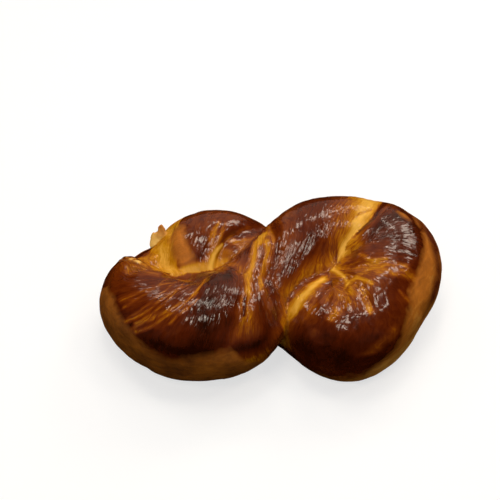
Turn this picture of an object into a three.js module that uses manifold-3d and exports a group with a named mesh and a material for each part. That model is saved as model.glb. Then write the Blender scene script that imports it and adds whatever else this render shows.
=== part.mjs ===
// A twisted bread roll: one rope of dough laid in a figure eight, risen until both loops close to dimples.
// Millimetres, +Z up. It lies on its flat base at z = 0, and +X runs along its length.
import * as THREE from "three";
import Module from "manifold-3d";
import { mergeVertices } from "three/addons/utils/BufferGeometryUtils.js";

// The rope's centre line and radius at each station, in the order that the rope runs: x, y, z, radius
const STATIONS = [
  [-7.0, -3.0, 26.5, 18.5], // crossing, on top
  [19.0, 27.8, 26.2, 19.8], // right loop, inner back
  [44.0, 29.6, 23.2, 23.1], // right loop, back
  [58.0, 14.5, 20.5, 25.2], // right end
  [37.0, -22.0, 18.5, 24.5], // right loop, front
  [4.0, 2.5, 12.0, 18.8], // crossing, underneath
  [-26.5, 23.5, 18.5, 23.6], // left loop, back
  [-62.5, -3.5, 18.5, 21.0], // left end
  [-42.5, -22.5, 20.5, 24.5], // left loop, front
  [-18.5, -20.5, 24.5, 24.0], // left loop, inner front
];

// The rope in four spans of stations, which press against each other where it passes itself
const SPANS = [
  [-0.3, 2.25],
  [2.25, 4.75],
  [4.75, 6.75],
  [6.75, 9.7],
];
const SAMPLES_PER_STATION = 36;
const SEAM = 3.0; // rounding where two spans press together

// The dough that closes each loop under its dimple: x, y, z, radius
const WEBS = [
  [32.0, 6.0, 15.0, 17.0],
  [-36.0, 1.0, 14.0, 18.0],
];
const WEB_SEAM = 8.0;

// Folds of the twist. A line runs through points of [station, degrees from the rope's top, + on its left],
// depth is how far it sinks, and step is how far the dough ahead of it stands above the dough behind it
const FOLDS = [
  {
    line: [[9.55, -85], [9.72, -44], [9.85, -30], [10.2, -11], [10.43, 16], [10.62, 66]], // centre ridge
    depth: 4.8,
    step: -1.2,
  },
  {
    line: [[1.55, -70], [1.75, -44], [1.86, -31], [1.95, -15], [2.02, 1], [2.05, 62]], // right back
    depth: 3.6,
    step: 2.0,
  },
  { line: [[3.42, 105], [3.5, 60], [3.35, 20]], depth: 2.0, step: 0 }, // right end
  { line: [[5.62, -60], [5.84, 0], [6.06, 30], [6.3, 60]], depth: 4.6, step: 1.6 }, // left inner fold
  { line: [[6.3, -60], [6.41, -28], [6.53, 2], [6.64, 38]], depth: 2.4, step: -1.6 }, // left back shoulder
  { line: [[6.75, -100], [6.78, -20], [6.71, 16], [6.5, 55]], depth: 4.2, step: 2.4 }, // left lip
  {
    line: [[8.7, -80], [8.9, -50], [9.02, -34], [9.15, -17], [9.5, 2], [9.9, 16], [10.27, 42]], // front to ridge
    depth: 2.4,
    step: -0.6,
  },
];

// Hollows of the rope, along lines of the same kind: depth, and reach to each side
const HOLLOWS = [
  { line: [[6.5, -85], [6.6, -40], [6.66, 5]], depth: 3.6, reach: 7 }, // left back shoulder
  { line: [[7.65, 42], [8.1, 41], [8.5, 38]], depth: 2.8, reach: 6 }, // left lip
  { line: [[3.5, 104], [3.68, 94], [3.9, 90]], depth: 2.8, reach: 15 }, // right end
  { line: [[4, 104], [4.15, 102], [4.4, 100]], depth: 1.8, reach: 15 }, // right front
  { line: [[7.3, -85], [7.8, -90], [8.2, -95]], depth: 1.3, reach: 10 }, // left front
];
const FOLD_REACH = 8.0; // distance over which a fold's sides rise
const STEP_REACH = 12.0; // distance over which a step levels out
const STEP_EDGE = 1.5; // distance over which a step comes up at its fold
const FOLD_ROUND = 1.5; // rounding of a fold's bottom
const FOLD_FADE = 4; // power of the fade towards a fold's ends

const BASE_ROUND = 4.0; // rounding between the flanks and the flat base

// The skin's grid, the room round the rope that it covers, and how its points are worked out
const CELL = 3.2;
const MARGIN = 7.0;
const SETTLE_STEPS = 3;
const EVEN_STEPS = 2;
const PROBE = 0.05;
const PULL = 0.15; // how strongly a point is held to the middle of its cell's crossings
const LEAST_SLOPE = 0.25;
const JUST_INSIDE = -0.05;
const MERGE = 1e-4;

// The torn flake of crust that stands up at the back of the left end: outline in its own plane, and place
const FLAKE_FOOT = [[-5.2, -4], [2.8, -4]];
const FLAKE_EDGE = [[2.6, 1], [2.2, 4.5], [0.6, 7], [-1.2, 5], [-1.8, 1.6], [-3.4, 3], [-5, 1]];
const FLAKE_STEPS = 18;
const FLAKE_THICKNESS = 2.4;
const FLAKE_PLACE = [-55.6, 23.2, 30.6];
const FLAKE_LEAN = 40; // degrees back from upright

const CRUST_COLOUR = 0x7a3d14;
const CRUST_ROUGHNESS = 0.35;

const COUNT = STATIONS.length;
const DEGREES = Math.PI / 180;
const TENSION = 0.5; // an even curve through the stations
const NEAR = 1e-3; // of a station, for the rope's direction

// Smooth joins of two distances
function softMin(a, b, k) {
  const h = Math.min(Math.max(0.5 + (0.5 * (b - a)) / k, 0), 1);
  return b * (1 - h) + a * h - k * h * (1 - h);
}
function softMax(a, b, k) {
  return -softMin(-a, -b, k);
}

// The centre line, and the radius as the x of a second curve through the same stations
const route = new THREE.CatmullRomCurve3(
  STATIONS.map(([x, y, z]) => new THREE.Vector3(x, y, z)), true, "catmullrom", TENSION);
const girth = new THREE.CatmullRomCurve3(
  STATIONS.map((station) => new THREE.Vector3(station[3], 0, 0)), true, "catmullrom", TENSION);

function turn(station) {
  return (((station / COUNT) % 1) + 1) % 1;
}

// One sample of the rope: centre, radius, the directions to its left and its top, and mm to a station
function sampleRope(station) {
  const centre = route.getPoint(turn(station));
  const ahead = route.getPoint(turn(station + NEAR)).sub(route.getPoint(turn(station - NEAR)));
  const pace = ahead.length() / (2 * NEAR);
  ahead.normalize();
  const left = new THREE.Vector3(0, 0, 1).cross(ahead).normalize();
  const top = ahead.clone().cross(left);
  return { station, centre, radius: girth.getPoint(turn(station)).x, left, top, pace };
}

function sampleSpan([start, end]) {
  const steps = Math.ceil((end - start) * SAMPLES_PER_STATION);
  return Array.from({ length: steps + 1 }, (_, i) => sampleRope(start + ((end - start) * i) / steps));
}

const spans = SPANS.map(sampleSpan);

// A station and an angle in degrees beside a line, on a rope of that radius and pace: the gap to the line,
// the side of it, and the share of it that lies behind
function besideLine(line, station, angle, radius, pace) {
  let gap = Infinity;
  let side = 0;
  let along = 0;
  for (let i = 0; i + 1 < line.length; i += 1) {
    const [s0, a0] = line[i];
    const [s1, a1] = line[i + 1];
    const past = station - s0;
    const x = (past - COUNT * Math.round(past / COUNT)) * pace;
    const y = (angle - a0) * DEGREES * radius;
    const ex = (s1 - s0) * pace;
    const ey = (a1 - a0) * DEGREES * radius;
    const u = Math.min(Math.max((x * ex + y * ey) / (ex * ex + ey * ey), 0), 1);
    const distance = Math.hypot(x - u * ex, y - u * ey);
    if (distance < gap) {
      gap = distance;
      side = Math.sign((x * ey - y * ex) * (a1 - a0));
      along = (i + u) / (line.length - 1);
    }
  }
  return { gap, side, along };
}

function foldHeight({ line, depth, step }, ...place) {
  const { gap, side, along } = besideLine(line, ...place);
  const fade = 1 - Math.abs(2 * along - 1) ** FOLD_FADE;
  const sink = depth * Math.exp((FOLD_ROUND - Math.hypot(gap, FOLD_ROUND)) / FOLD_REACH);
  const rise = step * side * (1 - Math.exp(-gap / STEP_EDGE)) * Math.exp(-gap / STEP_REACH);
  return fade * (rise - sink);
}

function hollowDepth({ line, depth, reach }, ...place) {
  const { gap } = besideLine(line, ...place);
  return depth * Math.exp(-((gap / reach) ** 2));
}

// Distance of a point from one span's surface, with its folds and hollows
function spanDistance(span, point) {
  let nearest = 0;
  let best = Infinity;
  span.forEach(({ centre, radius }, i) => {
    const distance = point.distanceTo(centre) - radius;
    if (distance < best) {
      best = distance;
      nearest = i;
    }
  });
  const { station, centre, radius, left, top, pace } = span[nearest];
  const out = point.clone().sub(centre);
  const angle = Math.atan2(out.dot(left), out.dot(top)) / DEGREES;
  const slip = out.dot(left.clone().cross(top)) / pace;
  const place = [station + slip, angle, radius, pace];
  const height = FOLDS.reduce((sum, fold) => sum + foldHeight(fold, ...place), 0);
  const sunk = HOLLOWS.reduce((sum, hollow) => sum + hollowDepth(hollow, ...place), 0);
  return best - height + sunk;
}

// Distance of a point from the roll's surface, below zero inside
function dough(point) {
  let distance = spans.map((span) => spanDistance(span, point)).reduce((a, b) => softMin(a, b, SEAM));
  for (const [x, y, z, radius] of WEBS) {
    const web = point.distanceTo(new THREE.Vector3(x, y, z)) - radius;
    distance = softMin(distance, web, WEB_SEAM);
  }
  return softMax(distance, -point.z, BASE_ROUND);
}

// The way in which the distance grows fastest
const AXES = [new THREE.Vector3(1, 0, 0), new THREE.Vector3(0, 1, 0), new THREE.Vector3(0, 0, 1)];
function slopeAt(point) {
  return new THREE.Vector3(...AXES.map((axis) => {
    const high = dough(point.clone().addScaledVector(axis, PROBE));
    const low = dough(point.clone().addScaledVector(axis, -PROBE));
    return (high - low) / (2 * PROBE);
  }));
}

// Moves a point along the steepest way to the surface
function settle(point) {
  for (let i = 0; i < SETTLE_STEPS; i += 1) {
    const slope = slopeAt(point);
    const move = -dough(point) / Math.max(slope.lengthSq(), LEAST_SLOPE);
    point.addScaledVector(slope, THREE.MathUtils.clamp(move, -CELL / 2, CELL / 2));
  }
  return point;
}

// The point of a cell that lies nearest the surface's planes at its crossings, so that folds stay sharp
function cellPoint(crossings, cell) {
  const mean = crossings.reduce((sum, p) => sum.add(p), new THREE.Vector3());
  mean.divideScalar(crossings.length);
  const sums = Array.from({ length: 9 }, (_, i) => (i % 4 === 0 ? PULL : 0));
  const side = new THREE.Vector3();
  for (const crossing of crossings) {
    const normal = slopeAt(crossing).normalize();
    const parts = normal.toArray();
    sums.forEach((_, i) => {
      sums[i] += parts[Math.floor(i / 3)] * parts[i % 3];
    });
    side.addScaledVector(normal, normal.dot(crossing.clone().sub(mean)));
  }
  const point = side.applyMatrix3(new THREE.Matrix3().fromArray(sums).invert()).add(mean);
  return settle(point.clamp(cell.min, cell.max));
}

// Moves each point halfway to the middle of its neighbours, and back to the surface
function evenOut(points, triangles) {
  const sums = points.map(() => new THREE.Vector3());
  const counts = points.map(() => 0);
  triangles.forEach((point, i) => {
    const next = triangles[i % 3 === 2 ? i - 2 : i + 1];
    sums[point].add(points[next]);
    counts[point] += 1;
  });
  points.forEach((point, i) => {
    settle(point.lerp(sums[i].divideScalar(counts[i]), 0.5));
  });
}

// The box of cells that holds the rope
function gridBox() {
  const box = new THREE.Box3();
  for (const { centre, radius } of spans.flat()) {
    box.expandByPoint(centre.clone().addScalar(radius));
    box.expandByPoint(centre.clone().addScalar(-radius));
  }
  box.min.z = 0;
  return box.expandByScalar(MARGIN);
}

// The surface where a field is zero: one point in each cell that it passes, one quad round each edge it cuts
function skin(field, box) {
  const size = box.getSize(new THREE.Vector3());
  const count = size.toArray().map((side) => Math.ceil(side / CELL) + 1);
  const at = (c) => (c[2] * count[1] + c[1]) * count[0] + c[0];
  const place = (c) => new THREE.Vector3(...c).multiplyScalar(CELL).add(box.min);
  const corners = [];
  for (let k = 0; k < count[2]; k += 1) {
    for (let j = 0; j < count[1]; j += 1) {
      for (let i = 0; i < count[0]; i += 1) {
        corners.push([i, j, k]);
      }
    }
  }
  const value = corners.map((c) => field(place(c)));
  const offsets = [0, 1].flatMap((k) => [0, 1].flatMap((j) => [0, 1].map((i) => [i, j, k])));
  const shift = (c, o, sign = 1) => c.map((v, axis) => v + sign * o[axis]);
  const inGrid = (c) => c.every((v, axis) => v >= 0 && v < count[axis]);
  const axes = [[1, 0, 0], [0, 1, 0], [0, 0, 1]];

  // A face of the grid with two opposite corners inside and two outside is a gap too tight for it: fill one
  let tight = true;
  while (tight) {
    tight = false;
    for (const c of corners) {
      axes.forEach((u, n) => {
        const v = axes[(n + 1) % 3];
        const face = [c, shift(c, u), shift(shift(c, u), v), shift(c, v)];
        if (!face.every(inGrid)) {
          return;
        }
        const [a, b, d, e] = face.map(at);
        const [ia, ib, id, ie] = [a, b, d, e].map((corner) => value[corner] < 0);
        if (ia === id && ib === ie && ia !== ib) {
          const outside = ia ? [b, e] : [a, d];
          value[value[outside[0]] < value[outside[1]] ? outside[0] : outside[1]] = JUST_INSIDE;
          tight = true;
        }
      });
    }
  }

  const points = [];
  const pointOf = new Map();
  for (const c of corners) {
    const cube = offsets.map((o) => shift(c, o));
    if (!cube.every(inGrid)) {
      continue;
    }
    const crossings = [];
    for (let a = 0; a < 8; a += 1) {
      for (const bit of [1, 2, 4]) {
        const b = a | bit;
        const va = value[at(cube[a])];
        const vb = value[at(cube[b])];
        if (va < 0 !== vb < 0) {
          crossings.push(place(cube[a]).lerp(place(cube[b]), va / (va - vb)));
        }
      }
    }
    if (crossings.length === 0) {
      continue;
    }
    pointOf.set(at(c), points.length);
    points.push(cellPoint(crossings, new THREE.Box3(place(cube[0]), place(cube[7]))));
  }

  const triangles = [];
  for (const c of corners) {
    axes.forEach((axis, n) => {
      const next = shift(c, axis);
      const inside = value[at(c)] < 0;
      if (!inGrid(next) || inside === value[at(next)] < 0) {
        return;
      }
      const u = axes[(n + 1) % 3];
      const v = axes[(n + 2) % 3];
      const cells = [c, shift(c, u, -1), shift(shift(c, u, -1), v, -1), shift(c, v, -1)];
      const quad = cells.map((cell) => pointOf.get(at(cell)));
      const [p, q, r, s] = inside ? quad : quad.reverse();
      const miss = (a, b) => Math.abs(field(points[a].clone().lerp(points[b], 0.5)));
      const even = miss(p, r) <= miss(q, s);
      triangles.push(...(even ? [p, q, r, p, r, s] : [p, q, s, q, r, s]));
    });
  }
  for (let i = 0; i < EVEN_STEPS; i += 1) {
    evenOut(points, triangles);
  }
  const geometry = new THREE.BufferGeometry();
  geometry.setAttribute("position", new THREE.Float32BufferAttribute(points.flatMap((p) => p.toArray()), 3));
  geometry.setIndex(triangles);
  return geometry;
}

// The flake, an outline as thick as a crust, stood up and leaned back into the dough
function flake() {
  const edge = new THREE.SplineCurve(FLAKE_EDGE.map(([x, y]) => new THREE.Vector2(x, y)));
  const foot = FLAKE_FOOT.map(([x, y]) => new THREE.Vector2(x, y));
  const outline = new THREE.Shape([...foot, ...edge.getPoints(FLAKE_STEPS)]);
  const geometry = new THREE.ExtrudeGeometry(outline, { depth: FLAKE_THICKNESS, bevelEnabled: false });
  geometry.translate(0, 0, -FLAKE_THICKNESS / 2);
  geometry.rotateX((90 - FLAKE_LEAN) * DEGREES);
  geometry.translate(...FLAKE_PLACE);
  return geometry;
}

const wasm = await Module();
wasm.setup();

function solidOf(geometry) {
  const bare = geometry.clone();
  bare.deleteAttribute("normal");
  bare.deleteAttribute("uv");
  const merged = mergeVertices(bare, MERGE);
  return new wasm.Manifold(new wasm.Mesh({
    numProp: 3,
    vertProperties: merged.attributes.position.array,
    triVerts: new Uint32Array(merged.index.array),
  }));
}

function geometryOf(solid) {
  const { vertProperties, triVerts } = solid.getMesh();
  const geometry = new THREE.BufferGeometry();
  geometry.setAttribute("position", new THREE.BufferAttribute(vertProperties, 3));
  geometry.setIndex(new THREE.BufferAttribute(triVerts, 1));
  return geometry;
}

const shape = geometryOf(solidOf(skin(dough, gridBox())).add(solidOf(flake())));
shape.computeVertexNormals();

// The origin is at the middle of the base
shape.computeBoundingBox();
const middle = shape.boundingBox.getCenter(new THREE.Vector3());
shape.translate(-middle.x, -middle.y, -shape.boundingBox.min.z);

const crust = new THREE.MeshStandardMaterial({
  color: CRUST_COLOUR,
  roughness: CRUST_ROUGHNESS,
  metalness: 0,
});
const roll = new THREE.Mesh(shape, crust);
roll.name = "roll";

const group = new THREE.Group();
group.add(roll);

export default group;
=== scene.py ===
import math

import bmesh
import bpy
import numpy as np
from bpy.props import FloatProperty, FloatVectorProperty, IntProperty, PointerProperty
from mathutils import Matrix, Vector


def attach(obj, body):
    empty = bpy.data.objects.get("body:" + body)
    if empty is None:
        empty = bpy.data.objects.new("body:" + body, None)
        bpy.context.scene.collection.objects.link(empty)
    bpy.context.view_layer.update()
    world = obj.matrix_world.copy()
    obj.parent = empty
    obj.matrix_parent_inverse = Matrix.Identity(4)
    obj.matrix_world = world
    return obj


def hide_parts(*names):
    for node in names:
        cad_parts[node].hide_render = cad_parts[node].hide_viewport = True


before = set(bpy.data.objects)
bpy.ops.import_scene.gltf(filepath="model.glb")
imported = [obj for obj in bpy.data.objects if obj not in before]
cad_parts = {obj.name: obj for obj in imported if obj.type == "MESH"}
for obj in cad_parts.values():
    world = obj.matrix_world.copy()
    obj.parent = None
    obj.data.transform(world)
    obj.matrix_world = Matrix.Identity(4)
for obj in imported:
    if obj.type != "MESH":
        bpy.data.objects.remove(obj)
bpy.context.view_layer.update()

bl_info = {
    "name": "Twisted bread roll",
    "version": (1, 0, 0),
    "blender": (4, 5, 0),
    "location": "3D View > Sidebar > Bread roll",
    "description": "Skins the packed roll with fine dough, browns and glazes its crust and sets the stage",
    "category": "Object",
}

MM = 0.001

# The rope's centre line and radius at each station in millimetres: x, y, z, radius.
# It runs from the crossing round the right loop, under itself and back round the left loop.
STATIONS = np.array([
    (-7.0, -3.0, 26.5, 18.5),
    (19.0, 27.8, 26.2, 19.8),
    (44.0, 29.6, 23.2, 23.1),
    (58.0, 14.5, 20.5, 25.2),
    (37.0, -22.0, 18.5, 24.5),
    (4.0, 2.5, 12.0, 18.8),
    (-26.5, 23.5, 18.5, 23.6),
    (-62.5, -3.5, 18.5, 21.0),
    (-42.5, -22.5, 20.5, 24.5),
    (-18.5, -20.5, 24.5, 24.0),
])
COUNT = len(STATIONS)
MIDDLE = np.array((-0.371, 2.707, 0.0))  # of the base, among the stations
PACE = 33.0  # mean millimetres from one station to the next

# Stations count on past the crossing, so that the strand's one break lies hidden under it
SPANS = ((4.75, 6.75), (6.75, 9.7), (9.7, 12.25), (12.25, 14.75))
SAMPLES_PER_STATION = 36
# Webs of dough that close the two loops: x, y, z, radius
WEBS = ((32.0, 6.0, 15.0, 17.0), (-36.0, 1.0, 14.0, 18.0))
# Rounding where a web meets the strands, and along the edge of the flat base
WEB_SEAM = 8.0
BASE_ROUND = 4.0

# Folds of the twist: a line of (station, degrees from the rope's top, + on its left), depth, step
FOLDS = (
    # Centre ridge
    (((9.55, -85), (9.72, -44), (9.85, -30), (10.2, -11), (10.43, 16), (10.62, 66)), 4.8, -1.2),
    # Right back
    (((11.55, -70), (11.75, -44), (11.86, -31), (11.95, -15), (12.02, 1), (12.05, 62)), 3.6, 2.0),
    (((13.42, 105), (13.5, 60), (13.35, 20)), 2.0, 0.0),  # right end
    (((5.62, -60), (5.84, 0), (6.06, 30), (6.3, 60)), 4.6, 1.6),  # left inner fold
    (((6.3, -60), (6.41, -28), (6.53, 2), (6.64, 38)), 2.4, -1.6),  # left back shoulder
    (((6.75, -100), (6.78, -20), (6.71, 16), (6.5, 55)), 4.2, 2.4),  # left lip
    # Fold that runs up to the ridge
    (((8.7, -80), (8.9, -50), (9.02, -34), (9.15, -17), (9.5, 2), (9.9, 16), (10.27, 42)), 2.4, -0.6),
)
# Hollows of the rope: a line, depth, reach
HOLLOWS = (
    (((6.5, -85), (6.6, -40), (6.66, 5)), 3.6, 7.0),  # left back shoulder
    (((7.65, 42), (8.1, 41), (8.5, 38)), 2.8, 6.0),  # left lip
    (((13.5, 104), (13.68, 94), (13.9, 90)), 2.8, 15.0),  # right end
    (((14.0, 104), (14.15, 102), (14.4, 100)), 1.8, 15.0),  # right front
    (((7.3, -85), (7.8, -90), (8.2, -95)), 1.3, 10.0),  # left front
)
# Finer creases on the folds' flanks: a line, depth, reach
CREASES = (
    # Rays of the right dimple
    (((13.47, -75), (13.46, -31), (13.42, -17), (13.35, -1), (13.31, 20)), 1.9, 2.6),
    (((13.67, -45), (13.59, -27), (13.50, -17), (13.42, 4)), 1.7, 2.2),
    (((13.67, -45), (13.70, -16), (13.79, -1), (13.88, 18)), 2.1, 2.4),
    (((13.68, -45), (13.86, -26), (14.07, -8), (14.13, 12)), 2.6, 3.2),
    (((14.33, -40), (14.30, -14), (14.22, 4), (14.16, 22)), 1.0, 2.0),
    (((14.44, -40), (14.40, -5), (14.38, 24)), 1.1, 2.2),
    (((8.64, 30), (8.24, -10), (7.78, -38)), 0.8, 1.6),  # fan of the left lobe
    (((8.60, 40), (7.98, 0), (7.62, -42)), 0.7, 1.5),
    (((8.60, 18), (8.32, -14), (7.90, -42)), 0.6, 1.5),
    # Bands beside the ridge
    (((9.36, -26), (9.59, -20), (9.96, -6), (10.22, 17), (10.42, 44)), 1.4, 1.5),
    (((9.80, -32), (10.05, -14), (10.28, 6), (10.45, 30)), 1.1, 1.4),
    (((11.60, -12), (11.73, 4), (11.93, 21)), 0.6, 1.5),  # wedge
    (((6.04, -4), (6.16, 21), (6.28, 38)), 0.7, 1.8),  # behind the left inner fold
)
# Reach of a fold, reach of the step beside it, the step's own rounding, and how late a fold fades at its ends
FOLD_REACH = 8.0
STEP_REACH = 12.0
STEP_EDGE = 1.5
FOLD_FADE = 4
FOLDS_MATTER = 9.0  # a strand this much further off than the nearest one doesn't shape the surface

# The way that the dough was stretched: lines of (station, degrees) that its streaks run along
GRAIN = (
    ((4.9, -90), (4.9, 90)),
    ((5.62, -60), (5.84, 0), (6.00, 20), (6.20, 38), (6.3, 60)),
    ((6.3, -60), (6.41, -28), (6.53, 2), (6.62, 30), (6.72, 70)),
    ((6.75, -90), (6.80, 0), (6.82, 60)),
    ((6.95, -60), (7.08, -20), (7.5, 10), (8.05, 30), (8.38, 44)),
    ((7.25, -55), (7.5, -20), (7.95, 10), (8.34, 30), (8.48, 44)),
    ((7.6, -51), (7.9, -15), (8.28, 10), (8.55, 30), (8.58, 44)),
    ((8.2, -60), (8.42, -20), (8.63, 10), (8.7, 44)),
    ((8.7, -81), (8.9, -50), (9.02, -34), (9.15, -17), (9.5, 2), (9.9, 16), (10.27, 42), (10.5, 80)),
    ((9.55, -75), (9.72, -44), (9.85, -30), (10.2, -11), (10.43, 16), (10.6, 59), (10.7, 90)),
    ((9.9, -100), (10.2, -60), (10.83, -20), (11.1, 20), (11.25, 60)),
    ((11.25, -61), (11.42, -30), (11.5, 0), (11.62, 30)),
    ((11.55, -70), (11.75, -44), (11.86, -31), (11.95, -15), (12.02, 1), (12.05, 62)),
    ((12.8, -60), (12.85, 0), (12.9, 60)),
    ((13.48, -48), (13.36, 0), (13.30, 60)),
    ((13.66, -40), (13.70, -16), (13.79, 0), (13.96, 25), (14.05, 60)),
    ((14.3, -60), (14.38, 0), (14.40, 60)),
    ((14.75, -90), (14.75, 90)),
)

# Golden parts, where the dough was stretched and took less colour:
# grain from and to, its softness, degrees from and to, their softness, gold
GOLD_BANDS = (
    (4.90, 5.86, 0.03, 8, 120, 22, 0.52),  # inner fold
    (4.90, 5.86, 0.03, -40, 120, 22, 0.48),
    (5.86, 6.50, 0.06, 38, 150, 14, 0.77),  # into the left dimple
    (5.90, 6.50, 0.06, -70, 40, 20, 0.26),
    (6.45, 6.80, 0.02, -90, 150, 20, 0.70),  # shoulder
    (6.79, 7.30, 0.16, -46, 40, 26, 0.36),  # along the lip
    (7.05, 8.50, 0.20, -46, 25, 16, 0.20),
    (9.46, 10.32, 0.05, -90, 90, 12, 0.32),  # crossing
    (10.36, 10.70, 0.14, -40, 70, 20, 0.30),
    (10.36, 11.50, 0.05, -130, -50, 16, 0.52),  # side of the crossing strand
    (11.12, 11.60, 0.20, -80, 60, 20, 0.40),  # up to the wedge
    (12.10, 14.75, 0.05, -130, -44, 16, 0.56),  # into the right dimple
    (12.05, 12.90, 0.10, -130, -32, 14, 0.52),
    (13.20, 14.45, 0.16, -70, 10, 24, 0.43),
)

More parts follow.
